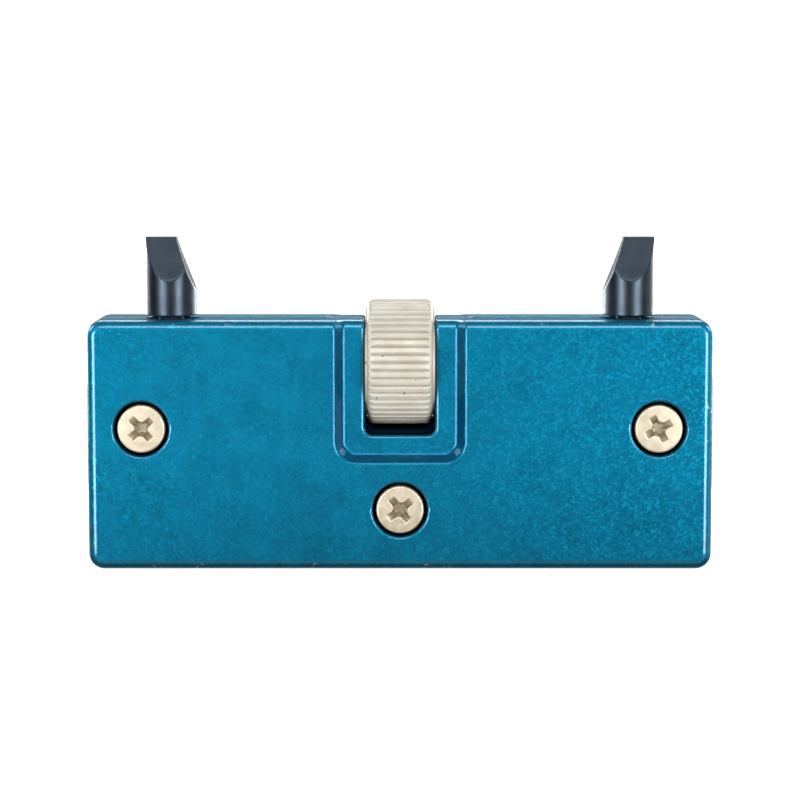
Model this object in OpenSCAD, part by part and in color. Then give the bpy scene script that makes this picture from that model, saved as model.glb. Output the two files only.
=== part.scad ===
// Two-footed watch case back opener, opened and closed by a thumb wheel.
// It stands on its long lower face with the feet up: X runs along the housing, Y through
// its thickness and Z up. The origin is the centre of the lower face. The screws enter
// from the -Y side. Lengths are in millimetres.

/* [Housing] */
// Length of the housing
housing_length = 60; // [60:0.5:66]
// Height of the housing
housing_height = 24; // [24:0.5:28]
// Thickness of the two half shells together
housing_thickness = 10; // [10:0.1:11.4]
// Radius of the four corners, seen from the front
corner_radius = 1.5; // [0.8:0.1:2.5]
// Radius of the rounded rim around each face
rim_radius = 0.9; // [0.4:0.1:1.2]
// Thickness of the outer walls
wall = 1.5; // [1.2:0.1:1.6]

/* [Wheel window] */
// Width of the window that the wheel sits in
window_width = 6.8; // [6.8:0.1:7.4]
// Depth of the window below the top face
window_depth = 11.1; // [11:0.1:12]
// Radius of the window's lower corners
window_radius = 0.8; // [0.3:0.1:1.2]
// Gap between the wheel and the low web below it, inside the window
web_gap = 0.3; // [0.3:0.05:0.6]
// Width of the shallow recess around the window, at the face
recess_width = 12.9; // [12:0.1:14]
// Depth of the recess below the top face, at the face
recess_drop = 13.9; // [13.6:0.1:14.6]
// How far the recess is sunk into the face
recess_sink = 0.8; // [0.4:0.1:0.9]
// How far the recess wall slopes in, from the face to its floor
recess_slope = 1.2; // [0.6:0.1:1.4]

/* [Thumb wheel] */
// Diameter over the knurled ridges
wheel_diameter = 12.1; // [11.4:0.1:12.2]
// Width of the wheel
wheel_width = 6.3; // [5.4:0.1:6.4]
// Width of the knurled band
knurl_width = 5; // [4:0.1:5.2]
// Number of straight ridges around the wheel
knurl_ridges = 48; // [36:2:60]
// Depth of the grooves between the ridges
knurl_depth = 0.25; // [0.1:0.05:0.4]

/* [Spindle] */
// Distance of the spindle's axis below the top face
spindle_drop = 4.3; // [4.2:0.1:4.6]
// Outer diameter of the threaded stretches
thread_diameter = 4; // [3.4:0.1:4.2]
// Diameter of the plain middle, where the wheel sits
seat_diameter = 5; // [4.6:0.1:5.2]
// Diameter of the end journals
journal_diameter = 3; // [2.4:0.1:3.2]

/* [Feet] */
// Distance of each foot's centre from the middle, as drawn
foot_offset = 22.2; // [8.2:0.1:22.9]
// Diameter of a foot's head above the housing
head_diameter = 5; // [4:0.1:5.4]
// Height of a foot's head, from its underside to the tip
head_height = 7.6; // [7:0.1:9]
// Diameter of the neck in the top slot
neck_diameter = 2.4; // [2:0.1:2.6]
// Diameter of the foot's lower body inside the housing
body_diameter = 6.2; // [5.6:0.1:6.2]
// Width of the chisel tip
tip_width = 3.05; // [2:0.05:4]
// Thickness of the chisel tip
tip_thickness = 0.9; // [0.6:0.05:1.4]

/* [Screws] */
// Distance of the two upper screws from the middle
screw_offset = 24.8; // [24:0.1:24.8]
// Distance of the two upper screws below the top face
screw_drop = 10.4; // [10.4:0.1:11]
// Distance of the lower screw below the top face
lower_screw_drop = 18.2; // [18.2:0.1:19]
// Diameter of a screw's head
screw_head_diameter = 4.6; // [4:0.1:4.8]
// Diameter of a screw's shank
screw_diameter = 2.4; // [2:0.1:2.6]

/* [Hidden] */

paint = "#0a80a6";
nickel = "#d7d0be";
dark_steel = "#3b444d";
brass = "#b59a55";

$fn = 64;
arc_steps = 8;
// Cuts run this far past the faces they open
past = 1;
// Radial clearance of the shaft in its bearings and of the feet on the thread
running = 0.05;
// Radial clearance of pieces that are fixed in place
seated = 0.02;

spindle_z = housing_height - spindle_drop;
half_thickness = housing_thickness / 2;

// The cross walls beside the window carry the middle of the spindle
inner_wall = 1.5;
channel_start = window_width / 2 + inner_wall;
// The channels in which the feet slide
channel_end = housing_length / 2 - 3.7;
channel_half_depth = body_diameter / 2 + 0.2;
channel_top = housing_height - 1.2;
channel_floor = housing_height - 7.2;
channel_middle = (channel_start + channel_end) / 2;
rib = 1.4;
// The slots in the top face that the necks slide in
slot_width = neck_diameter + 0.3;
slot_start = 6.7;
slot_end = channel_end - 1.8;
// The web in the middle of the window's floor
web_half_depth = 3;
// The bearing bushes in the end walls
bush_diameter = 5.6;
bush_length = 2.2;

// The foot's lower body ends short of the channel's floor and roof
body_bottom = channel_floor + 0.15;
body_top = channel_top - 0.15;
head_gap = 0.2;
head_bottom = housing_height + head_gap;

screw_head_thickness = 1.4;
screw_head_sink = 0.15;
screw_length = half_thickness - screw_head_sink + 2.9;
counterbore_diameter = screw_head_diameter + 0.7;
counterbore_depth = screw_head_thickness + screw_head_sink + 0.05;
boss_radius = 3.1;
pocket_depth = half_thickness - wall;
upper_screw_z = housing_height - screw_drop;
lower_screw_z = housing_height - lower_screw_drop;

// Outline of a rectangle with rounded corners, centred on the origin
function rounded_outline(width, height, radius) = [
    for (corner = [0:3], step = [0:arc_steps])
        let (
            angle = 90 * corner + 90 * step / arc_steps,
            side_x = (corner == 0 || corner == 3) ? 1 : -1,
            side_y = corner < 2 ? 1 : -1
        )
        [
            side_x * (width / 2 - radius) + radius * cos(angle),
            side_y * (height / 2 - radius) + radius * sin(angle)
        ]
];

// Points from start to end along a curve that is pulled towards one handle
function curve(start, handle, end) = [
    for (step = [0:arc_steps])
        let (t = step / arc_steps)
        start * (1 - t) * (1 - t) + handle * 2 * t * (1 - t) + end * t * t
];

// Ridges and grooves of the wheel, four points to a ridge
function knurl_outline() = [
    for (ridge = [0:knurl_ridges - 1], corner = [0:3])
        let (
            angle = 360 / knurl_ridges * (ridge + corner / 4),
            radius = wheel_diameter / 2 - (corner < 2 ? 0 : knurl_depth)
        )
        [radius * cos(angle), radius * sin(angle)]
];

// A cylinder along X between two places
module shaft(from_x, to_x, radius) {
    translate([from_x, 0, spindle_z])
        rotate([0, 90, 0])
            cylinder(h = to_x - from_x, r = radius);
}

// A cylinder along Y between two places, in the XZ plane at x, z
module cross_hole(x, z, from_y, to_y, radius) {
    translate([x, to_y, z])
        rotate([90, 0, 0])
            cylinder(h = to_y - from_y, r = radius);
}

// The whole housing's outer shape: three outlines with rounded corners, crossed
module housing_block() {
    translate([0, 0, housing_height / 2])
        intersection() {
            rotate([90, 0, 0])
                linear_extrude(housing_thickness + 2 * past, center = true)
                    polygon(rounded_outline(housing_length, housing_height, corner_radius));
            rotate([90, 0, 90])
                linear_extrude(housing_length + 2 * past, center = true)
                    polygon(rounded_outline(housing_thickness, housing_height, rim_radius));
            linear_extrude(housing_height + 2 * past, center = true)
                polygon(rounded_outline(housing_length, housing_thickness, rim_radius));
        }
}

// The half of the housing on the -Y side of the parting plane
module half_block() {
    intersection() {
        housing_block();
        translate([-housing_length, -housing_thickness, -past])
            cube([2 * housing_length, housing_thickness, housing_height + 2 * past]);
    }
}

// The shallow recess around the window, with sloping walls, open at the top face
module recess() {
    lean = recess_slope / recess_sink;
    side_face = recess_width / 2 + lean * past;
    side_floor = recess_width / 2 - recess_slope;
    low_face = housing_height - recess_drop - lean * past;
    low_floor = housing_height - recess_drop + recess_slope;
    high = housing_height + past;
    front = -half_thickness - past;
    floor_y = -half_thickness + recess_sink;
    intersection() {
        linear_extrude(high)
            polygon([
                [-side_face, front], [side_face, front],
                [side_floor, floor_y], [-side_floor, floor_y]
            ]);
        rotate([90, 0, 90])
            linear_extrude(2 * side_face, center = true)
                polygon([
                    [front, low_face], [floor_y, low_floor], [floor_y, high + past], [front, high + past]
                ]);
    }
}

// The opening that the wheel sits in, with rounded lower corners and a web across its floor
module window() {
    height = window_depth + 3 * past;
    floor_z = housing_height - window_depth;
    web_top = spindle_z - wheel_diameter / 2 - web_gap;
    difference() {
        translate([0, 0, floor_z + height / 2])
            rotate([90, 0, 0])
                linear_extrude(housing_thickness + 2 * past, center = true)
                    polygon(rounded_outline(window_width, height, window_radius));
        translate([-window_width, -web_half_depth, floor_z - past])
            cube([2 * window_width, 2 * web_half_depth, web_top - floor_z + past]);
    }
}

// The channel and top slot of one foot; side is 1 for +X and -1 for -X
module foot_channel(side) {
    length = channel_end - channel_start;
    slot_length = slot_end - slot_start;
    translate([side * channel_middle, 0, (channel_floor + channel_top) / 2])
        cube([length, 2 * channel_half_depth, channel_top - channel_floor], center = true);
    translate([side * (slot_start + slot_end) / 2, 0, housing_height])
        cube([slot_length, slot_width, 2 * (housing_height - channel_top) + past], center = true);
}

// Room for the spindle's middle and for the two end bushes
module spindle_seats() {
    pocket_start = channel_end - past;
    pocket_end = channel_end + bush_length + seated;
    pocket_radius = bush_diameter / 2 + seated;
    shaft(-channel_start - past, channel_start + past, seat_diameter / 2 + running);
    shaft(pocket_start, pocket_end, pocket_radius);
    shaft(-pocket_end, -pocket_start, pocket_radius);
}

// The hollow below the channels: its outline leaves the screw bosses and the ribs standing
module lower_pocket() {
    low = wall;
    high = channel_floor - rib;
    rib_offset = 12;
    hub_half_width = recess_width / 2;
    hub_bottom = housing_height - recess_drop;
    rotate([90, 0, 0])
        linear_extrude(pocket_depth)
            difference() {
                translate([-housing_length / 2 + wall, low])
                    square([housing_length - 2 * wall, high - low]);
                translate([-hub_half_width, hub_bottom])
                    square([2 * hub_half_width, housing_height]);
                translate([0, lower_screw_z])
                    circle(boss_radius);
                translate([-rib / 2, 0])
                    square([rib, housing_height]);
                for (side = [-1, 1]) {
                    translate([side * screw_offset, upper_screw_z])
                        circle(boss_radius);
                    translate([side * (screw_offset + boss_radius) - boss_radius, upper_screw_z - rib / 2])
                        square([2 * boss_radius, rib + boss_radius]);
                    translate([side * rib_offset - rib / 2, 0])
                        square([rib, housing_height]);
                }
            }
}

// One half of the housing with everything that both halves share
module hollow_half() {
    difference() {
        half_block();
        recess();
        window();
        foot_channel(-1);
        foot_channel(1);
        spindle_seats();
        lower_pocket();
    }
}

function screw_places() = [
    [-screw_offset, upper_screw_z],
    [screw_offset, upper_screw_z],
    [0, lower_screw_z]
];

// Screw side: each screw passes through, its head in a counterbore
module front_shell() {
    color(paint)
        difference() {
            hollow_half();
            for (place = screw_places()) {
                cross_hole(place[0], place[1], -half_thickness - past,
                    -half_thickness + counterbore_depth, counterbore_diameter / 2);
                cross_hole(place[0], place[1], -half_thickness, past, screw_diameter / 2 + 0.2);
            }
        }
}

// Plain side: the mirrored half, with blind holes for the screws' ends
module back_shell() {
    blind_depth = screw_length - half_thickness + screw_head_sink + 0.4;
    color(paint)
        difference() {
            mirror([0, 1, 0])
                hollow_half();
            for (place = screw_places())
                cross_hole(place[0], place[1], -past, blind_depth, screw_diameter / 2 + seated);
        }
}

// A cross-head machine screw; turn is the angle of its recess
module screw(x, z, turn) {
    head_y = -half_thickness + screw_head_sink;
    bevel = 0.2;
    head_radius = screw_head_diameter / 2;
    recess_length = 2.7;
    recess_width = 0.7;
    recess_depth = 0.9;
    color(nickel)
        translate([x, head_y, z])
            rotate([-90, 0, 0])
                difference() {
                    rotate_extrude()
                        polygon([
                            [0, 0], [head_radius - bevel, 0], [head_radius, bevel],
                            [head_radius, screw_head_thickness],
                            [screw_diameter / 2, screw_head_thickness],
                            [screw_diameter / 2, screw_length - bevel],
                            [screw_diameter / 2 - bevel, screw_length], [0, screw_length]
                        ]);
                    for (arm = [0, 90])
                        rotate([0, 0, turn + arm])
                            cube([recess_length, recess_width, 2 * recess_depth], center = true);
                }
}

module left_screw() {
    screw(-screw_offset, upper_screw_z, 42);
}

module right_screw() {
    screw(screw_offset, upper_screw_z, 28);
}

module lower_screw() {
    screw(0, lower_screw_z, 38);
}

// The wheel: straight knurling between bevelled shoulders, and a low hub on each face
module thumb_wheel() {
    radius = wheel_diameter / 2;
    half_width = wheel_width / 2;
    half_band = knurl_width / 2;
    shoulder = 0.6;
    hub_radius = 5.1;
    hub_half_width = window_width / 2 - 0.05;
    color(nickel)
        translate([0, 0, spindle_z])
            rotate([0, 90, 0])
                difference() {
                    union() {
                        intersection() {
                            linear_extrude(wheel_width + past, center = true)
                                polygon(knurl_outline());
                            rotate_extrude()
                                polygon([
                                    [0, -half_width], [radius - shoulder, -half_width],
                                    [radius + 0.01, -half_band], [radius + 0.01, half_band],
                                    [radius - shoulder, half_width], [0, half_width]
                                ]);
                        }
                        cylinder(h = 2 * hub_half_width, r = hub_radius, center = true);
                    }
                    cylinder(h = wheel_width + 2 * past, r = seat_diameter / 2 + 0.01, center = true);
                }
}

// The spindle: plain middle, a right-hand thread towards +X and a left-hand one towards -X,
// both drawn at their outer diameter, and a journal at each end
module spindle() {
    seat_end = channel_start - 0.05;
    thread_end = channel_end - 0.3;
    journal_end = channel_end + bush_length - 0.2;
    color(nickel)
        union() {
            shaft(-seat_end, seat_end, seat_diameter / 2);
            shaft(-thread_end, thread_end, thread_diameter / 2);
            shaft(-journal_end, journal_end, journal_diameter / 2);
        }
}

module bush(side) {
    middle = channel_end + bush_length / 2;
    color(brass)
        translate([side * middle, 0, spindle_z])
            rotate([0, 90, 0])
                difference() {
                    cylinder(h = bush_length, r = bush_diameter / 2, center = true);
                    cylinder(h = bush_length + past, r = journal_diameter / 2 + running, center = true);
                }
}

module left_bush() {
    bush(-1);
}

module right_bush() {
    bush(1);
}

// The foot's head: a cylinder whose inner side is ground away in a hollow curve and whose
// front and back slope in to a thin blade, so the tip stands at the outer side
module chisel_head() {
    radius = head_diameter / 2;
    inner_shoulder = 2.5;
    flat_shoulder = 3.2;
    flat_bend = 5.9;
    tip_half = tip_thickness / 2;
    bend_half = tip_half + 0.15;
    intersection() {
        cylinder(h = head_height, r = radius);
        rotate([90, 0, 0])
            linear_extrude(head_diameter + past, center = true)
                polygon(concat(
                    [[radius + past, head_height], [radius + past, -past], [-radius - past, -past]],
                    [[-radius - past, inner_shoulder - 2.2 * past]],
                    curve(
                        [-radius, inner_shoulder],
                        [radius - tip_width - 0.8, 0.62 * head_height],
                        [radius - tip_width, head_height]
                    )
                ));
        rotate([90, 0, 90])
            linear_extrude(head_diameter + past, center = true)
                polygon(concat(
                    [[-radius - past, -past], [radius + past, -past]],
                    [[radius + past, flat_shoulder - 0.5 * past]],
                    [[radius, flat_shoulder], [bend_half, flat_bend], [tip_half, head_height]],
                    [[-tip_half, head_height], [-bend_half, flat_bend], [-radius, flat_shoulder]],
                    [[-radius - past, flat_shoulder - 0.5 * past]]
                ));
    }
}

// A foot in one piece: head, neck, and a lower body that is tapped across for the spindle
module foot(side) {
    translate([side * foot_offset, 0, 0])
        mirror([side < 0 ? 1 : 0, 0, 0])
            color(dark_steel)
                difference() {
                    union() {
                        translate([0, 0, head_bottom])
                            chisel_head();
                        translate([0, 0, body_top - past])
                            cylinder(h = head_bottom - body_top + 1.5 * past, d = neck_diameter);
                        translate([0, 0, body_bottom])
                            cylinder(h = body_top - body_bottom, d = body_diameter);
                    }
                    shaft(-body_diameter, body_diameter, thread_diameter / 2 + running);
                }
}

module left_foot() {
    foot(-1);
}

module right_foot() {
    foot(1);
}

front_shell();
back_shell();
left_screw();
right_screw();
lower_screw();
thumb_wheel();
spindle();
left_bush();
right_bush();
left_foot();
right_foot();
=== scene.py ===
"""Looks of the two-footed case back opener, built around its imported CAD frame.

Painted shells, screws and feet are meshed from distance fields (millimetres), so that every edge has
its cast or ground rounding. The wheel, the spindle and the bushes are rings of points along the shaft.
"""
import math

import bpy
import numpy as np
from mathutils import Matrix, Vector


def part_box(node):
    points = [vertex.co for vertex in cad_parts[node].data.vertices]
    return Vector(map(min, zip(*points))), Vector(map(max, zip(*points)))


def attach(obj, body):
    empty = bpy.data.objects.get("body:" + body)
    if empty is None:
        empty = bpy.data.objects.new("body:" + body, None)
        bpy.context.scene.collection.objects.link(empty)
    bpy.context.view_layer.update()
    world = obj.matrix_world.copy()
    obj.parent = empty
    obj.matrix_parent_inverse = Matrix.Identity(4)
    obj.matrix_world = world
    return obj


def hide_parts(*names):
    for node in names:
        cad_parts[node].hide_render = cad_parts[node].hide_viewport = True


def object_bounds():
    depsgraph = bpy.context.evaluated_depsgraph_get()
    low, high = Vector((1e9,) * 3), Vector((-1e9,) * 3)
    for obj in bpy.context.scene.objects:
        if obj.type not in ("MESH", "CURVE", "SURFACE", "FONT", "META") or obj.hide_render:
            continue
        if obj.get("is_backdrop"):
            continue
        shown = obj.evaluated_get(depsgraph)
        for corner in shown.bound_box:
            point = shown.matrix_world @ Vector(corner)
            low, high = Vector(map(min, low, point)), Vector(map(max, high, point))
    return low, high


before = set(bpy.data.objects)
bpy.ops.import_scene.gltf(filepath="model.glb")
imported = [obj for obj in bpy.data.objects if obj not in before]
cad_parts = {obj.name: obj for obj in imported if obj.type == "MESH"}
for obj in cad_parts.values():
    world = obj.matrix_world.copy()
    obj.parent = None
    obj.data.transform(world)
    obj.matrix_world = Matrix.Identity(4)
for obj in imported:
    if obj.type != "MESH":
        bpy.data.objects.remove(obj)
cad_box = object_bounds()

MM = 0.001
PITCH_SCALE = 1.0
X, Y, Z = 0, 1, 2


# ---------------------------------------------------------------- sizes, in millimetres

def node_box(node):
    """Lowest and highest corner of a CAD node, in millimetres."""
    low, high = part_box(node)
    return np.array(low) / MM, np.array(high) / MM


def middle(node):
    """Centre of a CAD node's box, in millimetres."""
    low, high = node_box(node)
    return (low + high) / 2


shell_low, shell_high = node_box("front_shell")
wheel_low, wheel_high = node_box("thumb_wheel")
spindle_high = node_box("spindle")[1]
bush_low, bush_high = node_box("right_bush")
foot_low, foot_high = node_box("right_foot")

HALF_LENGTH = shell_high[X]
HEIGHT = shell_high[Z]
HALF_THICKNESS = -shell_low[Y]
SHAFT_Z = middle("thumb_wheel")[Z]
WHEEL_RADIUS = (wheel_high[Y] - wheel_low[Y]) / 2
FOOT_X = middle("right_foot")[X]
FOOT_TOP = foot_high[Z]
BODY_RADIUS = (foot_high[X] - foot_low[X]) / 2
BODY_BOTTOM = foot_low[Z]
SCREW_NODES = ("left_screw", "right_screw", "lower_screw")

CORNER_RADIUS = 1.5
RIM_RADIUS = 0.95
PARTING_RADIUS = 0.1
WALL = 1.5
RIB = 1.4
RIB_PLACES = (-12, 0, 12)
WINDOW_WIDTH = 6.8
WINDOW_DEPTH = 11.1
WINDOW_RADIUS = 0.8
WEB_GAP = 0.3
WEB_TOP = SHAFT_Z - WHEEL_RADIUS - WEB_GAP
WEB_HALF_DEPTH = 3.0
WEB_FILLET = 1.3
RECESS_WIDTH = 12.9
RECESS_DROP = 13.9
RECESS_RADIUS = 2.3
RECESS_SINK = 0.8
RECESS_SLOPE = 1.2
CHANNEL_START = 4.9
CHANNEL_END = bush_low[X]
CHANNEL_FLOOR = HEIGHT - 7.2
CHANNEL_TOP = HEIGHT - 1.2
CHANNEL_HALF_DEPTH = BODY_RADIUS + 0.2
SLOT_START = 6.7
SLOT_END = CHANNEL_END - 1.8
SLOT_HALF_WIDTH = 1.35
BOSS_RADIUS = 3.1
COUNTERBORE_RADIUS = 2.65
COUNTERBORE_FLOOR = -HALF_THICKNESS + 1.6
BUSH_RADIUS = (bush_high[Y] - bush_low[Y]) / 2
BUSH_PLAY = 0.02
SEAT_PLAY = 0.05

SHANK_RADIUS = 1.2
SCREW_HEAD_RADIUS = 2.3
SCREW_HEAD_THICKNESS = 1.4

FOOT_BASE = HEIGHT + 0.2
FOOT_RADIUS = 2.5
TIP_WIDTH = 3.05
TIP_HALF_THICKNESS = 0.45
BLADE_HALF_THICKNESS = TIP_HALF_THICKNESS + 0.15
NECK_RADIUS = 1.2
BODY_TOP = CHANNEL_TOP - 0.15

SEAT_RADIUS = 2.5
THREAD_RADIUS = 2.0
THREAD_PITCH = 0.7
THREAD_DEPTH = 0.43
THREAD_START = CHANNEL_START - 0.05
THREAD_END = CHANNEL_END - 0.3
JOURNAL_RADIUS = 1.5

RIDGES = 48
RIDGE_DEPTH = 0.21
BAND_HALF_WIDTH = 2.52
WHEEL_HALF_WIDTH = 3.15
WHEEL_FACE_RADIUS = WHEEL_RADIUS - 0.6
WHEEL_HUB_RADIUS = 5.25


# ---------------------------------------------------------------- distance fields

def box2(u, v, half_u, half_v, radius=0.0):
    """Distance to a rectangle with rounded corners; negative inside."""
    du = np.abs(u) - half_u + radius
    dv = np.abs(v) - half_v + radius
    outside = np.hypot(np.maximum(du, 0), np.maximum(dv, 0))
    return outside + np.minimum(np.maximum(du, dv), 0) - radius


def both(a, b, radius):
    """Where both fields are negative, with the edge between them rounded."""
    larger = np.maximum(a, b)
    corner = np.hypot(np.maximum(a + radius, 0), np.maximum(b + radius, 0)) - radius
    return np.where(larger > -radius, corner, larger)


def cut(solid, tool, radius):
    """The solid without the tool, with a rounded edge."""
    return both(solid, -tool, radius)


def joined(a, b, radius):
    """Where either field is negative, with a fillet in the corner between them."""
    return -both(-a, -b, radius)


def ramp(share, ease):
    """From 0 to 1 along a straight slope with rounded ends, and its derivative."""
    s = np.clip(share, 0, 1)
    k = 1 / (2 * ease * (1 - ease))
    at_start, at_end = s < ease, s > 1 - ease
    value = np.where(at_end, 1 - (1 - s) ** 2 * k, (s - ease / 2) / (1 - ease))
    value = np.where(at_start, s * s * k, value)
    slope = np.where(at_end, 2 * (1 - s) * k, 1 / (1 - ease))
    slope = np.where(at_start, 2 * s * k, slope)
    return value, np.where((share <= 0) | (share >= 1), 0, slope)


def recess_depth(x, z):
    """How deep the U-shaped recess is at a place on the face, and the slope of its wall there."""
    edge = box2(x, z - HEIGHT, RECESS_WIDTH / 2, RECESS_DROP, RECESS_RADIUS)
    value, slope = ramp(-edge / RECESS_SLOPE, 0.3)
    return value * RECESS_SINK, slope * RECESS_SINK / RECESS_SLOPE


def window_edge(x, z):
    """Distance to the outline of the wheel's window, which is open at the top."""
    return box2(x, z - HEIGHT, WINDOW_WIDTH / 2, WINDOW_DEPTH, WINDOW_RADIUS)


def window_tool(x, y, z):
    """The window's opening, less the low web across its floor with a fillet up each side wall."""
    beside = np.maximum(np.abs(x) - (WINDOW_WIDTH / 2 - WEB_FILLET), 0)
    under = np.maximum(WEB_TOP + WEB_FILLET - z, 0)
    web = both(WEB_FILLET - np.hypot(beside, under), np.abs(y) - WEB_HALF_DEPTH, 0.12)
    return np.maximum(window_edge(x, z), -web)


def pocket_edge(x, z):
    """Outline of the hollow below the channels, around the bosses and ribs."""
    edge = 0.2
    low, high = WALL, CHANNEL_FLOOR - RIB
    recess_bottom = HEIGHT - RECESS_DROP
    d = box2(x, z - (low + high) / 2, HALF_LENGTH - WALL, (high - low) / 2, 0.3)
    d = cut(d, box2(x, z - recess_bottom - HEIGHT, RECESS_WIDTH / 2, HEIGHT), edge)
    for node in SCREW_NODES:
        place = middle(node)
        d = cut(d, np.hypot(x - place[X], z - place[Z]) - BOSS_RADIUS, edge)
    for rib_x in RIB_PLACES:
        d = cut(d, np.abs(x - rib_x) - RIB / 2, edge)
    return d


def shell_outline(x, z):
    """Distance to the housing's outline, seen from the front."""
    return box2(x, z - HEIGHT / 2, HALF_LENGTH, HEIGHT / 2, CORNER_RADIUS)


def shell_outside(x, y, z):
    """The half without its openings: rounded rim, sunk recess and flat parting face."""
    depth, slope = recess_depth(x, z)
    face = (-y - (HALF_THICKNESS - depth)) / np.sqrt(1 + slope * slope)
    return both(both(shell_outline(x, z), face, RIM_RADIUS), y, PARTING_RADIUS)


def cut_channels(d, x, y, z):
    """Makes room for the feet: a channel for their bodies and a slot in the top for their necks."""
    side_x = np.abs(x)
    slot_floor = CHANNEL_FLOOR + 2
    channel_z = z - (CHANNEL_FLOOR + CHANNEL_TOP) / 2
    channel = box2(y, channel_z, CHANNEL_HALF_DEPTH, (CHANNEL_TOP - CHANNEL_FLOOR) / 2, 0.3)
    along = np.abs(side_x - (CHANNEL_START + CHANNEL_END) / 2) - (CHANNEL_END - CHANNEL_START) / 2
    d = cut(d, both(channel, along, 0.2), 0.15)
    slot_x = side_x - (SLOT_START + SLOT_END) / 2
    slot = box2(slot_x, y, (SLOT_END - SLOT_START) / 2, SLOT_HALF_WIDTH, 1.0)
    return cut(d, np.maximum(slot, slot_floor - z), 0.22)


def cut_seats(d, x, y, z):
    """Makes room for the spindle's middle and for the bush at each end."""
    side_x, around = np.abs(x), np.hypot(y, z - SHAFT_Z)
    into_channel, edge = 1, 0.1
    along = side_x - CHANNEL_START - into_channel
    d = cut(d, np.maximum(around - SEAT_RADIUS - SEAT_PLAY, along), edge)
    along = np.maximum(side_x - bush_high[X] - BUSH_PLAY, CHANNEL_END - into_channel - side_x)
    return cut(d, np.maximum(around - BUSH_RADIUS - BUSH_PLAY, along), edge)


def cut_screw_hole(d, x, y, z, node, with_head):
    """A screw's hole: counterbored and open in the half with the heads, blind in the other."""
    place, high = middle(node), node_box(node)[1]
    around, edge = np.hypot(x - place[X], z - place[Z]), 0.08
    loose, tapped, below_end = 0.2, 0.02, 0.4
    if with_head:
        d = cut(d, np.maximum(around - COUNTERBORE_RADIUS, y - COUNTERBORE_FLOOR), 0.22)
        return cut(d, around - SHANK_RADIUS - loose, edge)
    return cut(d, np.maximum(around - SHANK_RADIUS - tapped, -y - high[Y] - below_end), edge)


def shell_field(x, y, z, with_heads):
    """The housing's half on the -Y side. with_heads is true where the screws' heads sit."""
    d = cut_seats(cut_channels(shell_outside(x, y, z), x, y, z), x, y, z)
    d = cut(d, np.maximum(pocket_edge(x, z), -y - (HALF_THICKNESS - WALL)), 0.15)
    d = cut(d, window_tool(x, y, z), 0.3)
    for node in SCREW_NODES:
        d = cut_screw_hole(d, x, y, z, node, with_heads)
    return d


def bend(t_value, start, handle, end):
    """First coordinate of a quadratic curve where its second coordinate is t_value, and its slope."""
    a = start[1] - 2 * handle[1] + end[1]
    b = 2 * (handle[1] - start[1])
    c = start[1] - np.clip(t_value, start[1], end[1])
    t = -c / b if abs(a) < 1e-6 else (-b + np.sqrt(np.maximum(b * b - 4 * a * c, 0))) / (2 * a)
    value = start[0] * (1 - t) ** 2 + 2 * handle[0] * t * (1 - t) + end[0] * t * t
    first = 2 * (handle[0] - start[0]) * (1 - t) + 2 * (end[0] - handle[0]) * t
    second = 2 * (handle[1] - start[1]) * (1 - t) + 2 * (end[1] - handle[1]) * t
    return value, first / second


def upright(around, z, radius, low, high, edge):
    """An upright cylinder from low to high with rounded edges."""
    return both(around - radius, np.abs(z - (low + high) / 2) - (high - low) / 2, edge)


def ground_side(x, z):
    """The head's curved side towards the wheel, from its collar up to the tip's edge."""
    collar = FOOT_BASE + 2.5
    below_collar = 0.55
    pull, rise = 0.8, 0.62
    tip_x = FOOT_RADIUS - TIP_WIDTH
    handle = (tip_x - pull, FOOT_BASE + rise * (FOOT_TOP - FOOT_BASE))
    side, slope = bend(z, (-FOOT_RADIUS, collar), handle, (tip_x, FOOT_TOP))
    side = np.where(z < collar, side - (collar - z) * below_collar, side)
    return (side - x) / np.sqrt(1 + slope * slope)


def leaning(y, z, low, high):
    """Between a front and a back plane that near each other from low to high: (half gap, z) each."""
    lean = (low[0] - high[0]) / (high[1] - low[1])
    return (np.abs(y) - low[0] + lean * (z - low[1])) / math.hypot(1, lean)


def ground_faces(y, z):
    """The head's front and back: a wedge that runs into the thin blade in a wide curve."""
    wedge_low = (FOOT_RADIUS, FOOT_BASE + 3.2)
    blade_low = (BLADE_HALF_THICKNESS, FOOT_BASE + 5.9)
    wedge = leaning(y, z, wedge_low, blade_low)
    blade = leaning(y, z, blade_low, (TIP_HALF_THICKNESS, FOOT_TOP))
    return joined(wedge, blade, 2.5)


def foot_field(x, y, z):
    """The right foot, about its own axis: x is measured from it, towards the housing's end."""
    around = np.hypot(x, y)
    edge = 0.09
    head = upright(around, z, FOOT_RADIUS, FOOT_BASE, FOOT_TOP, 0.14)
    head = both(both(head, ground_side(x, z), edge), ground_faces(y, z), edge)
    neck = upright(around, z, NECK_RADIUS, BODY_TOP - 0.3, FOOT_BASE + 0.3, 0.05)
    body = upright(around, z, BODY_RADIUS, BODY_BOTTOM, BODY_TOP, 0.25)
    d = joined(joined(head, neck, 0.1), body, 0.15)
    return cut(d, np.hypot(y, z - SHAFT_Z) - THREAD_RADIUS - 0.05, 0.12)


def cross_recess(p, q, around, depth):
    """A screw's cross recess, narrower further down; p and q run along its two arms."""
    arm_reach, arm_half_width, hub_radius = 1.38, 0.34, 0.72
    end_taper, side_taper, hub_taper = 0.75, 0.1, 0.35
    end_scale, hub_scale = 1.25, 1.06

    def arm(along, across):
        end = (along - arm_reach + end_taper * depth) / end_scale
        return np.maximum(end, across - arm_half_width + side_taper * depth)

    arms = np.minimum(arm(p, q), arm(q, p))
    return joined(arms, (around - hub_radius + hub_taper * depth) / hub_scale, 0.12)


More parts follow.
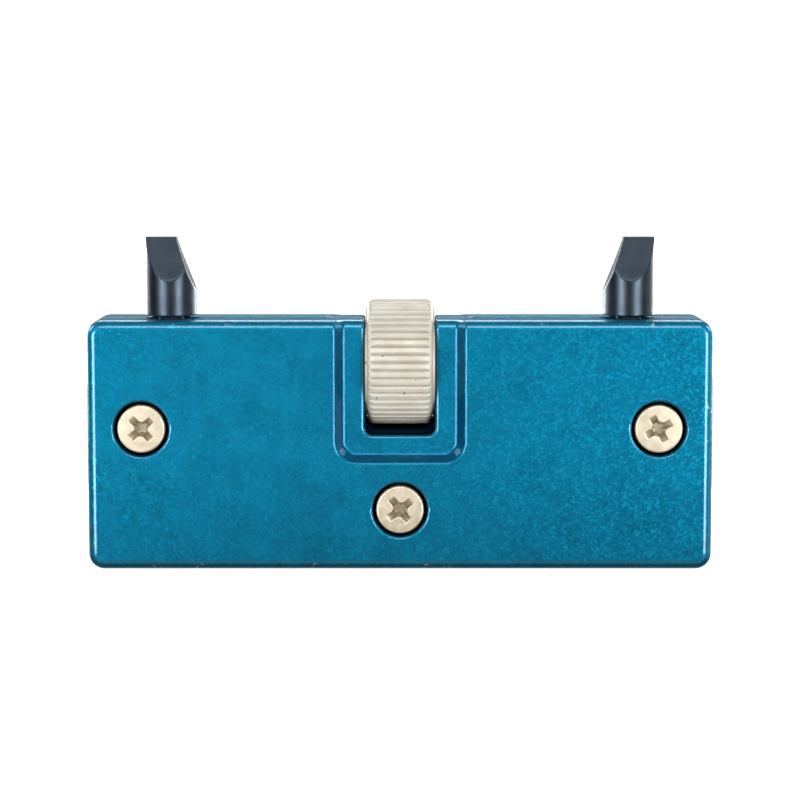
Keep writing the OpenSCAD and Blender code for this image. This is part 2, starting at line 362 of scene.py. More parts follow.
def screw_field(u, v, w, length, turn):
    """A cross-head screw: w is the depth below the top of its head, turn the angle of its recess."""
    around = np.hypot(u, v)
    dome_height, inside_head, recess_depth_limit = 0.05, 0.5, 1.15
    dome = dome_height * (around / SCREW_HEAD_RADIUS) ** 2
    half = SCREW_HEAD_THICKNESS / 2
    head = both(around - SCREW_HEAD_RADIUS, np.abs(w - dome - half) - half, 0.2)
    shank = both(around - SHANK_RADIUS, np.abs(w - length / 2) - length / 2, 0.15)
    d = joined(head, np.maximum(shank, inside_head - w), 0.1)
    c, s = math.cos(math.radians(turn)), math.sin(math.radians(turn))
    p, q = np.abs(c * u + s * v), np.abs(c * v - s * u)
    recess = cross_recess(p, q, around, np.maximum(w, 0))
    return cut(d, np.maximum(recess, w - recess_depth_limit), 0.07)


# ---------------------------------------------------------------- meshes

CELL_CORNERS = [(a, b, c) for a in (0, 1) for b in (0, 1) for c in (0, 1)]


def add_object(name, data):
    """Puts a mesh, a lamp or a camera in the scene."""
    thing = bpy.data.objects.new(name, data)
    bpy.context.scene.collection.objects.link(thing)
    return thing


def shade_smooth(mesh):
    """Marks every face as smooth."""
    mesh.polygons.foreach_set("use_smooth", [True] * len(mesh.polygons))


def new_piece(name, points, faces):
    """An object from points in millimetres and lists of corner numbers."""
    mesh = bpy.data.meshes.new(name)
    mesh.from_pydata((np.asarray(points) * MM).tolist(), [], faces)
    mesh.validate()
    mesh.update()
    shade_smooth(mesh)
    return add_object(name, mesh)


def piece_points(piece):
    """The piece's points, in millimetres."""
    points = np.empty(len(piece.data.vertices) * 3)
    piece.data.vertices.foreach_get("co", points)
    return points.reshape(-1, 3) / MM


def sampled(field, axes):
    """The field at every grid point, worked out slab by slab to save memory."""
    slab = 24
    values = np.empty([len(a) for a in axes], np.float32)
    for i in range(0, len(axes[X]), slab):
        part = slice(i, i + slab)
        values[part] = field(*np.meshgrid(axes[X][part], axes[Y], axes[Z], indexing="ij"))
    return values


def crossed_cells(inside):
    """The grid cells that the surface passes, and a grid with their numbers, -1 elsewhere."""
    shape = [n - 1 for n in inside.shape]
    count = np.zeros(shape, np.int8)
    for a, b, c in CELL_CORNERS:
        count += inside[a:a + shape[0], b:b + shape[1], c:c + shape[2]]
    cells = np.argwhere((count > 0) & (count < len(CELL_CORNERS)))
    number = np.full(shape, -1, np.int64)
    number[tuple(cells.T)] = np.arange(len(cells))
    return cells, number


def mean_crossings(values, cells):
    """Where the surface crosses each cell's edges, on average, as shares of the cell."""
    total = np.zeros((len(cells), 3))
    crossings = np.zeros(len(cells))
    for start in CELL_CORNERS:
        for axis in (X, Y, Z):
            if start[axis]:
                continue
            end = list(start)
            end[axis] = 1
            a = values[tuple((cells + start).T)].astype(float)
            b = values[tuple((cells + end).T)].astype(float)
            hit = (a < 0) != (b < 0)
            place = np.tile(np.array(start, float), (len(cells), 1))
            place[:, axis] = np.where(hit, a / np.where(hit, a - b, 1), 0)
            total += place * hit[:, None]
            crossings += hit
    return total / crossings[:, None]


def crossing_quads(inside, number, axis):
    """Quads around the grid edges along one axis that the surface crosses, facing outwards."""
    one, two = (axis + 1) % 3, (axis + 2) % 3
    before, after = [slice(None)] * 3, [slice(None)] * 3
    before[axis], after[axis] = slice(0, -1), slice(1, None)
    edges = np.argwhere(inside[tuple(before)] != inside[tuple(after)])
    keep = (edges[:, one] > 0) & (edges[:, two] > 0)
    keep &= (edges[:, one] < number.shape[one]) & (edges[:, two] < number.shape[two])
    edges = edges[keep]
    ring = []
    for back_one, back_two in ((1, 1), (0, 1), (0, 0), (1, 0)):
        at = edges.copy()
        at[:, one] -= back_one
        at[:, two] -= back_two
        ring.append(number[tuple(at.T)])
    quads = np.stack(ring, 1)
    entering = ~inside[tuple(edges.T)]
    quads[entering] = quads[entering][:, ::-1]
    return quads


def surface_net(field, low, high, pitch):
    """Points and quads where the field is zero: one point in each grid cell that it passes."""
    axes = [np.arange(low[a] - 1.5 * pitch, high[a] + 2.5 * pitch, pitch) for a in (X, Y, Z)]
    values = sampled(field, axes)
    inside = values < 0
    cells, number = crossed_cells(inside)
    origin = np.array([a[0] for a in axes])
    points = origin + (cells + mean_crossings(values, cells)) * pitch
    return points, np.concatenate([crossing_quads(inside, number, axis) for axis in (X, Y, Z)])


def gradient(field, points, step=0.004):
    """How fast the field grows along each axis, from points a step to either side."""
    out = np.empty_like(points)
    for axis in (X, Y, Z):
        offset = np.zeros(3)
        offset[axis] = step
        ahead = field(*(points + offset).T)
        behind = field(*(points - offset).T)
        out[:, axis] = (ahead - behind) / (2 * step)
    return out


def onto_surface(field, points, longest):
    """The points moved to where the field is zero, in four steps of no more than longest each."""
    flattest, tiny = 0.05, 1e-9
    for _ in range(4):
        slope = gradient(field, points)
        length2 = np.maximum((slope * slope).sum(1), flattest)
        move = (field(*points.T) / length2)[:, None] * slope
        size = np.linalg.norm(move, axis=1, keepdims=True)
        points = points - move * np.minimum(1, longest / np.maximum(size, tiny))
    return points


def thin_out(piece, share):
    """Collapses the piece's flattest edges until this share of its triangles is left."""
    thin = piece.modifiers.new("thin", "DECIMATE")
    thin.ratio = min(1, share)
    bpy.context.view_layer.update()
    graph = bpy.context.evaluated_depsgraph_get()
    mesh = bpy.data.meshes.new_from_object(piece.evaluated_get(graph), depsgraph=graph)
    piece.modifiers.clear()
    piece.data = mesh


def field_piece(name, field, low, high, pitch, triangles):
    """A closed mesh of a distance field, thinned where it is flat, with the field's own normals."""
    pitch *= PITCH_SCALE
    points, quads = surface_net(field, low, high, pitch)
    piece = new_piece(name, onto_surface(field, points, pitch / 4), quads.tolist())
    thin_out(piece, triangles / (2 * len(quads)))
    points = onto_surface(field, piece_points(piece), pitch / 8)
    normals = gradient(field, points)
    normals /= np.maximum(np.linalg.norm(normals, axis=1, keepdims=True), 1e-9)
    mesh = piece.data
    mesh.vertices.foreach_set("co", (points * MM).ravel())
    mesh.update()
    shade_smooth(mesh)
    mesh.normals_split_custom_set_from_vertices(normals.tolist())
    return piece


def ring_piece(name, stations, sides, radius_at, sharp):
    """A closed ring-shaped piece about the shaft, with creases where it bends more than sharp degrees.

    stations are (x, radius) in order around its section, and radius_at(x, radius, angles) gives the
    radius at each angle.
    """
    angles = np.arange(sides) * 2 * math.pi / sides
    rows = []
    for x, radius in stations:
        r = radius_at(x, radius, angles)
        rows.append(np.stack([np.full(sides, x), r * np.cos(angles), SHAFT_Z + r * np.sin(angles)], 1))
    faces = []
    for i in range(len(stations)):
        j = (i + 1) % len(stations)
        for k in range(sides):
            n = (k + 1) % sides
            faces.append((i * sides + k, j * sides + k, j * sides + n, i * sides + n))
    piece = new_piece(name, np.concatenate(rows), faces)
    piece.data.set_sharp_from_angle(angle=math.radians(sharp))
    return piece


def plain_radius(x, radius, angles):
    """The same radius at every angle."""
    return np.full(len(angles), radius)


def set_attribute(piece, name, values):
    """A number at each point that a material can read."""
    attribute = piece.data.attributes.new(name, "FLOAT", "POINT")
    attribute.data.foreach_set("value", np.asarray(values, np.float32))


def finish_piece(piece, node, body, material):
    """Puts a piece in a CAD node's place."""
    piece.data.materials.append(material)
    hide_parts(node)
    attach(piece, body)


# ---------------------------------------------------------------- materials

MIX_COLOUR_A, MIX_COLOUR_B, MIX_COLOUR_RESULT = 6, 7, 2


class Shader:
    """A node material whose nodes are added one line at a time."""

    def __init__(self, name):
        self.material = bpy.data.materials.new(name)
        self.material.use_nodes = True
        self.tree = self.material.node_tree
        self.tree.nodes.clear()
        self.surface = self.node("ShaderNodeBsdfPrincipled")
        output = self.node("ShaderNodeOutputMaterial")
        self.link(self.surface.outputs[0], output.inputs["Surface"])
        place = self.node("ShaderNodeTexCoord").outputs["Object"]
        scale = self.node("ShaderNodeVectorMath", {0: place, "Scale": 1 / MM}, operation="SCALE")
        self.place = scale.outputs[0]

    def link(self, source, target):
        self.tree.links.new(source, target)

    def node(self, kind, inputs=None, **settings):
        """Adds a node; an input is linked if its value is an output, and set otherwise."""
        made = self.tree.nodes.new(kind)
        for key, value in settings.items():
            setattr(made, key, value)
        for key, value in (inputs or {}).items():
            if isinstance(value, bpy.types.NodeSocket):
                self.link(value, made.inputs[key])
            else:
                made.inputs[key].default_value = value
        return made

    def set(self, **values):
        """Sets or links the surface's inputs; Base_Color stands for Base Color."""
        for key, value in values.items():
            socket = self.surface.inputs[key.replace("_", " ")]
            if isinstance(value, bpy.types.NodeSocket):
                self.link(value, socket)
            else:
                socket.default_value = value

    def noise(self, scale, detail=2.0, roughness=0.5, stretch=None):
        """Smooth noise; scale is in cycles per millimetre, and stretch multiplies it along each axis."""
        place = self.place
        if stretch:
            place = self.node("ShaderNodeMapping", {"Vector": place, "Scale": stretch}).outputs[0]
        inputs = {"Vector": place, "Scale": scale, "Detail": detail, "Roughness": roughness}
        return self.node("ShaderNodeTexNoise", inputs).outputs["Fac"]

    def cells(self, scale):
        """A random colour for each cell; scale is in cells per millimetre."""
        return self.node("ShaderNodeTexVoronoi", {"Vector": self.place, "Scale": scale}).outputs["Color"]

    def spread(self, value, low, high, to_low, to_high):
        """The value taken from the range low to high to the range to_low to to_high, and clamped."""
        inputs = {"Value": value, "From Min": low, "From Max": high, "To Min": to_low, "To Max": to_high}
        return self.node("ShaderNodeMapRange", inputs, clamp=True).outputs[0]

    def times(self, a, b):
        return self.node("ShaderNodeMath", {0: a, 1: b}, operation="MULTIPLY").outputs[0]

    def plus(self, a, b):
        return self.node("ShaderNodeMath", {0: a, 1: b}, operation="ADD").outputs[0]

    def mix(self, share, a, b):
        """Colour a where share is 0, and colour b where it is 1."""
        made = self.node("ShaderNodeMix", {"Factor": share}, data_type="RGBA")
        for key, value in ((MIX_COLOUR_A, a), (MIX_COLOUR_B, b)):
            if isinstance(value, bpy.types.NodeSocket):
                self.link(value, made.inputs[key])
            else:
                made.inputs[key].default_value = (*value, 1)
        return made.outputs[MIX_COLOUR_RESULT]

    def bump(self, height, distance, strength):
        """A normal for a relief of this height; distance is in millimetres."""
        inputs = {"Height": height, "Distance": distance * MM, "Strength": strength}
        return self.node("ShaderNodeBump", inputs).outputs[0]

    def tilted(self, colour, amount):
        """The surface's normal, tipped a different way by each colour."""
        centred = self.node("ShaderNodeVectorMath", {0: colour, 1: (0.5, 0.5, 0.5)}, operation="SUBTRACT")
        tip = self.node("ShaderNodeVectorMath", {0: centred.outputs[0], "Scale": amount}, operation="SCALE")
        normal = self.node("ShaderNodeNewGeometry").outputs["Normal"]
        total = self.node("ShaderNodeVectorMath", {0: normal, 1: tip.outputs[0]}, operation="ADD")
        return self.node("ShaderNodeVectorMath", {0: total.outputs[0]}, operation="NORMALIZE").outputs[0]

    def attribute(self, name):
        """A number that set_attribute gave the piece's points."""
        return self.node("ShaderNodeAttribute", attribute_name=name).outputs["Fac"]


def srgb(r, g, b):
    """A colour given as on a screen, 0 to 255, in linear light."""
    def linear(c):
        c /= 255
        return c / 12.92 if c <= 0.04045 else ((c + 0.055) / 1.055) ** 2.4
    return (linear(r), linear(g), linear(b))


def paint_tone(s, flake):
    """The paint's blue: darker in clouds, lighter on some flakes, and darker on the recess's walls as
    painted shade.
    """
    blue, light_blue = srgb(3, 103, 134), srgb(14, 128, 156)
    # The second colour on the next line is painted shade for the recess's sloping walls.
    dark_blue, painted_wall_shade = srgb(1, 88, 118), srgb(1, 58, 92)
    tone = s.mix(s.spread(s.noise(0.9, 3), 0.35, 0.7, 0, 0.4), blue, dark_blue)
    flake_grey = s.node("ShaderNodeSeparateColor", {0: flake}).outputs[0]
    tone = s.mix(s.spread(flake_grey, 0.6, 1.0, 0, 0.35), tone, light_blue)
    return s.mix(s.spread(s.attribute("slope"), 0.2, 0.8, 0, 0.55), tone, painted_wall_shade)


def paint_chips(s):
    """1 in the small chips along the rim, and 0 elsewhere."""
    near_rim = s.spread(s.attribute("rim"), 0.5, 0.9, 0, 1)
    areas = s.spread(s.noise(0.5, 2), 0.62, 0.64, 0, 1)
    return s.times(s.times(areas, s.spread(s.noise(3, 2), 0.58, 0.62, 0, 1)), near_rim)


def paint_material():
    """Glossy metallic blue paint: tilted flakes under a clear coat, chipped in a few places.

    The coat is thinner on the recess's walls, and the inside of the housing is dull and painted near-black
    as painted shade.
    """
    s = Shader("blue_metallic_paint")
    flake = s.cells(5.0)
    inner = s.attribute("inner")
    # The first colour on the next line is near-black painted shade for the inside of the housing.
    painted_inner_shade, bare_metal = srgb(3, 14, 24), srgb(150, 164, 168)
    gloss = s.spread(s.noise(0.35, 4), 0.3, 0.7, 0.4, 0.5)
    wall_coat = s.spread(s.attribute("slope"), 0, 0.8, 1, 0.3)
    s.set(
        Base_Color=s.mix(paint_chips(s), s.mix(inner, paint_tone(s, flake), painted_inner_shade), bare_metal),
        Metallic=s.spread(inner, 0, 1, 0.9, 0),
        Roughness=s.plus(gloss, s.spread(inner, 0, 1, 0, 0.5)),
        Specular_IOR_Level=0.0,
        Normal=s.tilted(flake, 0.15),
        Coat_Weight=s.times(s.spread(inner, 0, 0.5, 0.7, 0), wall_coat),
        Coat_Roughness=0.05,
        Coat_Normal=s.bump(s.noise(1.1, 2, 0.4), 0.05, 0.25),
    )
    return s.material


def wheel_material():
    """Warm bright nickel, darkened in the grooves as painted shade, with a few dark nicks."""
    s = Shader("wheel_nickel")
    stain = s.spread(s.noise(0.5, 4, 0.6), 0.35, 0.75, 0, 1)
    colour = s.mix(stain, srgb(174, 170, 160), srgb(160, 154, 141))
    # Painted shade: the knurl's grooves are darkened.
    colour = s.mix(s.spread(s.attribute("groove"), 0.3, 1, 0, 0.2), colour, srgb(112, 102, 86))
    nick = s.spread(s.noise(1.1, 2), 0.74, 0.75, 0, 1)
    colour = s.mix(nick, colour, srgb(52, 46, 40))
    s.set(
        Base_Color=colour,
        Metallic=0.5,
        Roughness=s.spread(s.noise(2.5, 4, 0.6), 0.3, 0.7, 0.5, 0.62),
        Normal=s.bump(s.noise(4, 2, 0.5), 0.02, 0.15),
    )
    return s.material


def screw_material():
    """Nickel-plated screw: warm, nearly matt, with painted shade darkening the cross recess."""
    s = Shader("screw_nickel")
    stain = s.spread(s.noise(0.9, 4, 0.6), 0.35, 0.75, 0, 1)
    colour = s.mix(stain, srgb(204, 193, 172), srgb(184, 171, 147))
    # Painted shade: the cross recess is darkened.
    colour = s.mix(s.spread(s.attribute("sunk"), 0.1, 0.8, 0, 0.4), colour, srgb(112, 96, 70))
    s.set(
        Base_Color=colour,
        Metallic=0.8,
        Roughness=s.spread(s.noise(3, 3), 0.3, 0.7, 0.36, 0.5),
        Normal=s.bump(s.noise(7, 2, 0.5), 0.02, 0.15),
    )
    return s.material


def foot_material():
    """Hardened, blackened steel, polished, with fine grinding lines."""
    s = Shader("blackened_steel")
    cloud = s.spread(s.noise(0.6, 3), 0.35, 0.7, 0, 1)
    lines = s.noise(1.0, 3, 0.6, (14, 14, 0.6))
    ground = s.spread(s.attribute("ground"), 0, 1, 0, 0.22)
    s.set(
        Base_Color=s.mix(cloud, srgb(45, 53, 61), srgb(54, 62, 69)),
        Metallic=1.0,
        Roughness=s.plus(s.spread(lines, 0.3, 0.7, 0.3, 0.4), ground),
        Normal=s.bump(lines, 0.01, 0.12),
    )
    return s.material


def turned_material(name, light, dark, roughness):
    """Turned metal with fine lines around the shaft and a little staining."""
    s = Shader(name)
    stain = s.spread(s.noise(0.7, 4, 0.6), 0.35, 0.75, 0, 1)
    lines = s.noise(1.0, 2, 0.5, (16, 0.5, 0.5))
    s.set(
        Base_Color=s.mix(stain, light, dark),
        Metallic=1.0,
        Roughness=s.spread(lines, 0.3, 0.7, roughness - 0.06, roughness + 0.08),
        Normal=s.bump(lines, 0.01, 0.4),
    )
    return s.material


def floor_material():
    """Plain white paper, glowing a little as on a light table."""
    s = Shader("pale_paper")
    s.set(
        Base_Color=s.mix(s.noise(0.05, 3), (0.84, 0.84, 0.84), (0.88, 0.88, 0.88)),
        Roughness=0.8,
        Specular_IOR_Level=0.1,
        Emission_Color=(1, 1, 1, 1),
        Emission_Strength=0.65,
    )
    return s.material


# ---------------------------------------------------------------- pieces

def mark_shell(piece):
    """Numbers for the paint: near the rim, on the recess's sloping walls, and inside the housing; the paint
    uses the last two for painted shade.
    """
    skin, fade = 0.2, 0.6
    rim_high = 2.4
    x, y, z = piece_points(piece).T
    depth, slope = recess_depth(x, z)
    inwards = np.maximum(-shell_outline(x, z), 0)
    below = np.maximum(-(np.abs(y) - HALF_THICKNESS + depth), 0)
    near_rim = rim_high - rim_high * np.clip((inwards + below) / RIM_RADIUS, 0, 1)
    set_attribute(piece, "rim", np.where(depth > 0, 0, near_rim))
    # slope and inner also drive painted shade: darker recess walls and a near-black inside.
    set_attribute(piece, "slope", np.where(below < skin, slope * RECESS_SLOPE / RECESS_SINK, 0))
    set_attribute(piece, "inner", np.clip((np.minimum(inwards, below) - skin) / fade, 0, 1))


def make_shell(node, facing, with_heads, material):
    """A half of the housing; facing is -1 for the screw side and 1 for the plain side."""
    def field(x, y, z):
        return shell_field(x, -facing * y, z, with_heads)

    low, high = node_box(node)
    piece = field_piece(node + "_cast", field, low, high, pitch=0.16, triangles=46000)
    mark_shell(piece)
    finish_piece(piece, node, "housing", material)


def make_screw(node, turn, material):
    """A screw whose recess is marked, so that painted shade can darken it; turn is its cross's angle."""
    low, high = node_box(node)
    place = middle(node)

    def field(x, y, z):
        return screw_field(x - place[X], z - place[Z], y - low[Y], high[Y] - low[Y], turn)

    piece = field_piece(node + "_cross", field, low, high, pitch=0.07, triangles=16000)
    # Points in the recess deeper than the second number here are marked for painted shade.
    recess_reach, shade_start_depth = 1.8, 0.1
    x, y, z = piece_points(piece).T
    in_recess = np.hypot(x - place[X], z - place[Z]) < recess_reach
    set_attribute(piece, "sunk", (y - low[Y] - shade_start_depth) * in_recess)
    finish_piece(piece, node, "housing", material)


def make_foot(node, side, material):
    """A foot whose ground faces are marked, apart from the turned side of its head."""
    def field(x, y, z):
        return foot_field(side * x - FOOT_X, y, z)

    low, high = node_box(node)
    piece = field_piece(node + "_ground", field, low, high, pitch=0.085, triangles=26000)
    collar_top, skin, fade = FOOT_BASE + 2.4, 0.04, 0.08
    x, y, z = piece_points(piece).T
    off_the_side = np.clip((FOOT_RADIUS - skin - np.hypot(side * x - FOOT_X, y)) / fade, 0, 1)
    turned = (z > FOOT_BASE) & (z < collar_top)
    set_attribute(piece, "ground", np.where(turned, 0, np.where(z > FOOT_BASE, off_the_side, 1)))
    finish_piece(piece, node, "left_jaw" if side < 0 else "right_jaw", material)


def ridged_radius(x, radius, angles):
    """The wheel's radius at each angle: ridges that run out where the section itself is lower."""
    groove_half_width = 0.27
    phase = np.abs(angles * RIDGES / (2 * math.pi) % 1 - 0.5)
    groove = 0.5 + 0.5 * np.cos(math.pi * np.clip(phase / groove_half_width, 0, 1))
    return np.minimum(WHEEL_RADIUS - RIDGE_DEPTH * groove, radius)


def wheel_side():
    """The section of the wheel's right side: round shoulder, face, hub and the edge of the bore."""
    round_share, flat_share = 0.8, 0.2
    side = []
    for t in np.linspace(0, 1, 9)[1:]:
        swing = t * math.pi / 2
        across = round_share * math.sin(swing) + flat_share * t
        down = round_share * (1 - math.cos(swing)) + flat_share * t
        x = BAND_HALF_WIDTH + (WHEEL_HALF_WIDTH - BAND_HALF_WIDTH) * across
        side.append((x, WHEEL_RADIUS - (WHEEL_RADIUS - WHEEL_FACE_RADIUS) * down))
    hub_half_width, bore, edge = wheel_high[X], SEAT_RADIUS + 0.01, 0.08
    return side + [
        (WHEEL_HALF_WIDTH, WHEEL_FACE_RADIUS - 0.12),
        (WHEEL_HALF_WIDTH, WHEEL_HUB_RADIUS + 0.1),
        (WHEEL_HALF_WIDTH - 0.05, WHEEL_HUB_RADIUS),
        (hub_half_width - edge, WHEEL_HUB_RADIUS),
        (hub_half_width, WHEEL_HUB_RADIUS - edge),
        (hub_half_width, bore + edge),
        (hub_half_width - edge, bore),
    ]


def make_wheel(material):
    """The wheel, with the depth in its grooves marked on the band for the material's painted shade."""
    points_per_ridge, past_band = 12, 0.3
    band = [(x, WHEEL_RADIUS) for x in np.linspace(-BAND_HALF_WIDTH, BAND_HALF_WIDTH, 15)]
    right = wheel_side()
    left = [(-x, r) for x, r in reversed(right)]
    sides = RIDGES * points_per_ridge
    piece = ring_piece("thumb_wheel_knurled", left + band + right, sides, ridged_radius, sharp=50)
    x, y, z = piece_points(piece).T
    sunk = (WHEEL_RADIUS - np.hypot(y, z - SHAFT_Z)) / RIDGE_DEPTH
    on_band = np.abs(x) < BAND_HALF_WIDTH + past_band
    set_attribute(piece, "groove", np.where(on_band, np.clip(sunk, 0, 1), 0))
    finish_piece(piece, "thumb_wheel", "wheel_and_spindle", material)


def threaded_radius(x, radius, angles):
    """The spindle's radius at each angle: a thread, right-handed towards +X and left-handed towards -X."""
    if radius != THREAD_RADIUS:
        return plain_radius(x, radius, angles)
    steepness, crest, run_in, run_out = 1.35, 0.15, 0.8, 0.5
    turn = angles / (2 * math.pi) * (1 if x > 0 else -1)
    phase = (x / THREAD_PITCH - turn) % 1
    valley = np.clip((1 - 2 * np.abs(phase - 0.5)) * steepness - crest, 0, 1)
    fade = min(1.0, max(0.0, (abs(x) - THREAD_START) / run_in))
    fade *= min(1.0, max(0.0, (THREAD_END - abs(x)) / run_out))
    return THREAD_RADIUS - THREAD_DEPTH * valley * fade


def make_spindle(material):
    """The spindle: the wheel's seat in the middle, a thread on either side, and a journal at each end."""
    seat_edge, end_edge, step = 0.15, 0.2, THREAD_PITCH / 10
    end = spindle_high[X]
    right = [(0.0, SEAT_RADIUS), (THREAD_START - seat_edge, SEAT_RADIUS)]
    right += [(THREAD_START, SEAT_RADIUS - seat_edge), (THREAD_START, THREAD_RADIUS + 0.001)]
    right += [(x, THREAD_RADIUS) for x in np.arange(THREAD_START + 0.2, THREAD_END - 0.1, step)]
    right += [(THREAD_END - 0.1, THREAD_RADIUS - 0.3), (THREAD_END, JOURNAL_RADIUS)]
    right += [(end - end_edge, JOURNAL_RADIUS), (end, JOURNAL_RADIUS - end_edge), (end, 0.02)]
    left = [(-x, r) for x, r in reversed(right[1:])]
    piece = ring_piece("spindle_threaded", left + right, 48, threaded_radius, sharp=50)
    finish_piece(piece, "spindle", "wheel_and_spindle", material)


def make_bush(node, material):
    """A plain bearing bush with bevelled edges."""
    low, high = node_box(node)
    outer, bore, bevel = (high[Y] - low[Y]) / 2, JOURNAL_RADIUS + 0.05, 0.2
    a, b = low[X], high[X]
    stations = [
        (a, bore + bevel), (a, outer - bevel), (a + bevel, outer), (b - bevel, outer),
        (b, outer - bevel), (b, bore + bevel), (b - bevel, bore), (a + bevel, bore),
    ]
    piece = ring_piece(node + "_turned", stations, 72, plain_radius, sharp=30)
    finish_piece(piece, node, "housing", material)


# ---------------------------------------------------------------- stage, light and camera

# Softboxes in metres, around the object: name, azimuth and elevation in degrees (azimuth 0 is in
# front, 90 on the right), width and height, and radiance.
SIDE_LAMPS = (
    ("window", 88, -3, (0.16, 0.42), 1.6),
    ("side_left", -90, 32, (0.2, 0.2), 9.0),
    ("side_right", 90, 32, (0.2, 0.2), 9.0),
    ("rim_left", -115, 10, (0.14, 0.3), 4.0),
    ("rim_right", 115, 10, (0.14, 0.3), 4.0),
)
FACE_LAMPS = (
    ("front_left", -36, 0, (0.2, 0.2), 15.0),
    ("front_right", 36, 0, (0.2, 0.2), 15.0),
    ("front_top", 0, 42, (0.34, 0.16), 7.0),
    ("back_left", 144, 4, (0.24, 0.16), 11.9),
    ("back_right", 216, 4, (0.24, 0.16), 11.9),
    ("back_top", 180, 42, (0.34, 0.16), 7.0),
)
LAMP_DISTANCE = 0.5

# The studio around them: (cosine of the angle from the object's front-to-back line, strength).
STUDIO_LEVELS = ((0.0, 0.06), (0.45, 0.06), (0.64, 0.6), (0.88, 0.6), (0.97, 0.12))
BACKDROP_STRENGTH = 1.25

CAMERA_ELEVATION = math.radians(6)
CAMERA_DISTANCE = 0.25
FIELD_WIDTH = 0.078


def make_floor():
    """A sheet of paper just large enough for the shadow; it runs out into the white backdrop."""
    half_length, half_depth, corner, steps = 0.09, 0.055, 0.03, 8
    points = []
    for quarter in range(4):
        side_x = 1 if quarter in (0, 3) else -1
        side_y = 1 if quarter < 2 else -1
        for step in range(steps + 1):
            angle = math.radians(90 * quarter + 90 * step / steps)
            x = side_x * (half_length - corner) + corner * math.cos(angle)
            points.append((x, side_y * (half_depth - corner) + corner * math.sin(angle), 0))
    mesh = bpy.data.meshes.new("floor")
    mesh.from_pydata(points, [], [list(range(len(points)))])
    floor = add_object("floor", mesh)
    floor.data.materials.append(floor_material())
    floor.visible_glossy = False
    floor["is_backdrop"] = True


def aim(thing, target):
    """Turns a lamp or a camera to face the target."""
    direction = Vector(target) - thing.location
    thing.rotation_euler = direction.to_track_quat("-Z", "Y").to_euler()


def level_ramp(tree, levels, highest):
    """A colour ramp with the studio's levels as shares of the highest."""
    ramp = tree.nodes.new("ShaderNodeValToRGB")
    ramp.color_ramp.interpolation = "EASE"
    stops = ramp.color_ramp.elements
    while len(stops) < len(levels):
        stops.new(1.0)
    for stop, (place, level) in zip(stops, levels):
        stop.position = place
        stop.color = (level / highest,) * 3 + (1,)
    return ramp


def make_world(levels, backdrop):
    """A studio whose light changes with the angle; the camera itself sees a plain white backdrop."""
    world = bpy.data.worlds.new("studio")
    world.use_nodes = True
    tree = world.node_tree
    highest = max(level for _, level in levels)
    way = tree.nodes.new("ShaderNodeTexCoord")
    split = tree.nodes.new("ShaderNodeSeparateXYZ")
    cosine = tree.nodes.new("ShaderNodeMath")
    cosine.operation = "ABSOLUTE"
    ramp = level_ramp(tree, levels, highest)
    scale = tree.nodes.new("ShaderNodeMath")
    scale.operation = "MULTIPLY"
    scale.inputs[1].default_value = highest
    path = tree.nodes.new("ShaderNodeLightPath")
    choose = tree.nodes.new("ShaderNodeMix")
    choose.inputs["B"].default_value = backdrop
    background = tree.nodes["Background"]
    background.inputs["Color"].default_value = (1, 1, 1, 1)
    tree.links.new(way.outputs["Generated"], split.inputs[0])
    tree.links.new(split.outputs["Y"], cosine.inputs[0])
    tree.links.new(cosine.outputs[0], ramp.inputs["Fac"])
    tree.links.new(ramp.outputs["Color"], scale.inputs[0])
    tree.links.new(scale.outputs[0], choose.inputs["A"])
    tree.links.new(path.outputs["Is Camera Ray"], choose.inputs["Factor"])
    tree.links.new(choose.outputs[0], background.inputs["Strength"])
    bpy.context.scene.world = world


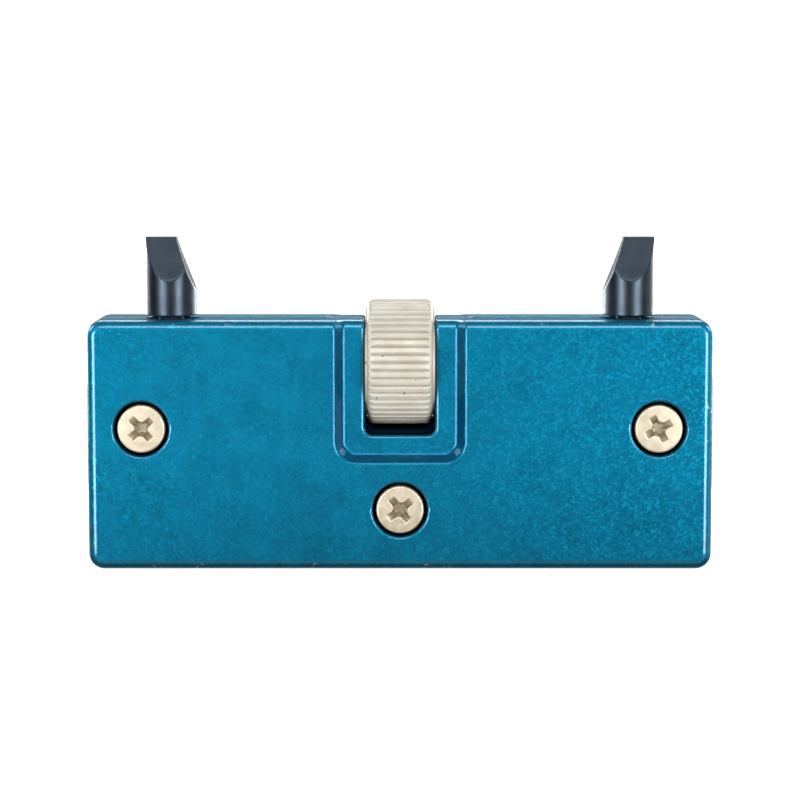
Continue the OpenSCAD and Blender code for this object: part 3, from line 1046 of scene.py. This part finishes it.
def make_softbox(name, target, azimuth, elevation, size, radiance):
    """A soft rectangle of light that faces the target and isn't itself seen."""
    turn, rise = math.radians(azimuth), math.radians(elevation)
    way = Vector((math.sin(turn) * math.cos(rise), -math.cos(turn) * math.cos(rise), math.sin(rise)))
    lamp = bpy.data.lights.new(name, "AREA")
    lamp.shape = "RECTANGLE"
    lamp.size, lamp.size_y = size
    lamp.energy = radiance * math.pi * size[0] * size[1]
    light = add_object(name, lamp)
    light.location = Vector(target) + LAMP_DISTANCE * way
    light.visible_camera = False
    aim(light, target)


def make_overhead(strength, spread):
    """Soft light straight from above, as even far away as near; spread is in degrees."""
    lamp = bpy.data.lights.new("overhead", "SUN")
    lamp.energy = strength
    lamp.angle = math.radians(spread)
    add_object("overhead", lamp)


def make_camera(target):
    """A camera in front of the target and a little above it, with a long lens."""
    data = bpy.data.cameras.new("camera")
    data.sensor_width = 36
    data.lens = data.sensor_width * CAMERA_DISTANCE / FIELD_WIDTH
    camera = add_object("camera", data)
    way = Vector((0, -math.cos(CAMERA_ELEVATION), math.sin(CAMERA_ELEVATION)))
    camera.location = Vector(target) + CAMERA_DISTANCE * way
    aim(camera, target)
    bpy.context.scene.camera = camera


# ---------------------------------------------------------------- the scene

paint = paint_material()
make_shell("front_shell", -1, True, paint)
make_shell("back_shell", 1, False, paint)

screw_nickel = screw_material()
for node, turn in (("left_screw", 42), ("right_screw", 28), ("lower_screw", 38)):
    make_screw(node, turn, screw_nickel)

black_steel = foot_material()
make_foot("left_foot", -1, black_steel)
make_foot("right_foot", 1, black_steel)

make_wheel(wheel_material())
make_spindle(turned_material("turned_steel", srgb(205, 204, 198), srgb(168, 166, 160), roughness=0.28))
brass = turned_material("turned_brass", srgb(204, 172, 96), srgb(168, 136, 70), roughness=0.3)
for node in ("left_bush", "right_bush"):
    make_bush(node, brass)

centre = (Vector(cad_box[0]) + Vector(cad_box[1])) / 2
make_floor()
make_world(STUDIO_LEVELS, BACKDROP_STRENGTH)
for name, azimuth, elevation, size, radiance in SIDE_LAMPS:
    make_softbox(name, centre, azimuth, elevation, size, radiance)
make_overhead(strength=0.25, spread=80)
for name, azimuth, elevation, size, radiance in FACE_LAMPS:
    make_softbox(name, centre, azimuth, elevation, size, radiance)
make_camera(centre)
bpy.context.scene.view_settings.view_transform = "Standard"

visual_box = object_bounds()
boxes = {"cad": cad_box, "visual": visual_box}
{k: [[float(c) for c in corner] for corner in v] for k, v in boxes.items()}
